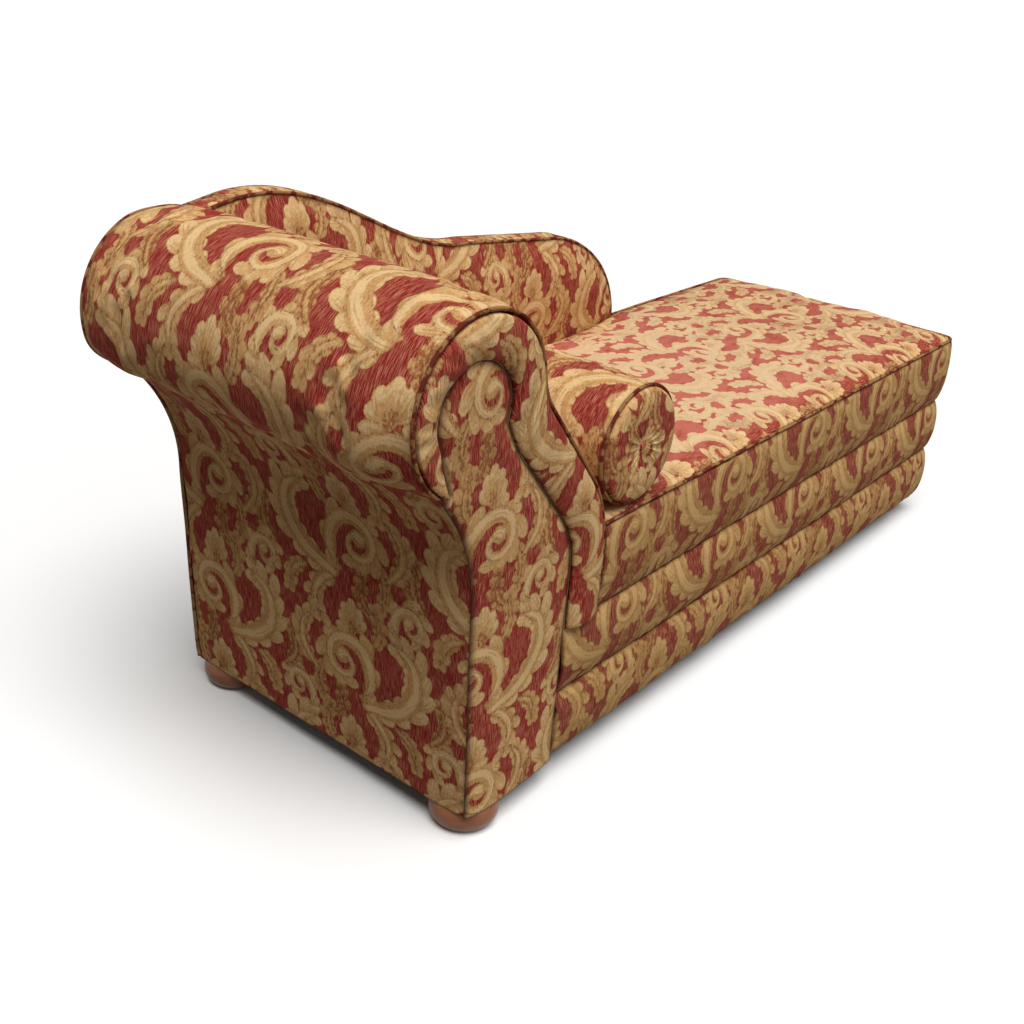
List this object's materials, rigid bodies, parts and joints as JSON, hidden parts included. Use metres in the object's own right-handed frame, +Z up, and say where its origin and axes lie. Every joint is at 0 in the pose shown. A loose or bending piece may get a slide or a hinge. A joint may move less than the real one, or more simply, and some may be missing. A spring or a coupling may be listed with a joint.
{
  "type": "fainting couch",
  "caption": "Upholstered fainting couch: padded tiered base on turned bun feet, scrolled rolled head end with pleated facing, serpentine half back and a loose bolster.",
  "frame": {"origin": "on the floor under the middle of the couch's bounding box", "axes": "+Z up; +X along the couch from the rolled head end towards the foot end; +Y from the open front side towards the half back"},
  "size_m": [1.923, 0.6664, 0.8654],
  "materials": {
    "frame_wood": "sawn softwood",
    "plywood": "raw plywood",
    "webbing": "woven jute",
    "hessian": "open plain weave",
    "dust_cloth": "non-woven black cloth",
    "lining_board": "smooth hardboard",
    "foam": "open-cell foam",
    "fibre_filling": "soft fibre",
    "damask": "crimson and gold chenille damask",
    "damask_welt": "crimson and gold chenille damask over cord",
    "foot_wood": "orange-brown satin lacquer",
    "bolt_steel": "zinc plated"
  },
  "bodies": {
    "couch": {"front_rail": "frame_wood", "rear_rail": "frame_wood", "head_rail": "frame_wood", "foot_rail": "frame_wood", "corner_blocks": "frame_wood", "cross_bearers": "frame_wood", "seat_end_rail": "frame_wood", "scroll_board_front": "plywood", "scroll_board_rear": "plywood", "arm_battens": "frame_wood", "back_board": "plywood", "cross_webbing": "webbing", "long_webbing": "webbing", "seat_hessian": "hessian", "dust_cover": "dust_cloth", "arm_lining": "lining_board", "arm_foam": "foam", "seat_foam": "foam", "back_foam": "foam", "arm_cover": "damask", "outside_arm_cover": "damask", "tongue_facing": "damask", "pleated_band": "damask", "rear_scroll_facing": "damask", "front_scroll_welt": "damask_welt", "rear_scroll_welt": "damask_welt", "lower_tier": "damask", "upper_tier": "damask", "seat_border": "damask", "seat_top_cover": "damask", "seat_welts": "damask_welt", "inside_back_cover": "damask", "back_top_band": "damask", "outside_back_cover": "damask", "back_welt": "damask_welt", "foot_head_front": "foot_wood", "foot_head_rear": "foot_wood", "foot_end_front": "foot_wood", "foot_end_rear": "foot_wood", "foot_bolts": "bolt_steel"},
    "bolster": {"bolster_core": "fibre_filling", "bolster_cover": "damask", "bolster_end_front": "damask", "bolster_end_rear": "damask", "bolster_welt_front": "damask_welt", "bolster_welt_rear": "damask_welt", "bolster_button_front": "damask_welt", "bolster_button_rear": "damask_welt"}
  },
  "joints": [
    {"name": "bolster_lift", "type": "slide", "parent": "couch", "child": "bolster", "axis": [0, 0, 1], "range_m": [0, 0.45]}
  ]
}
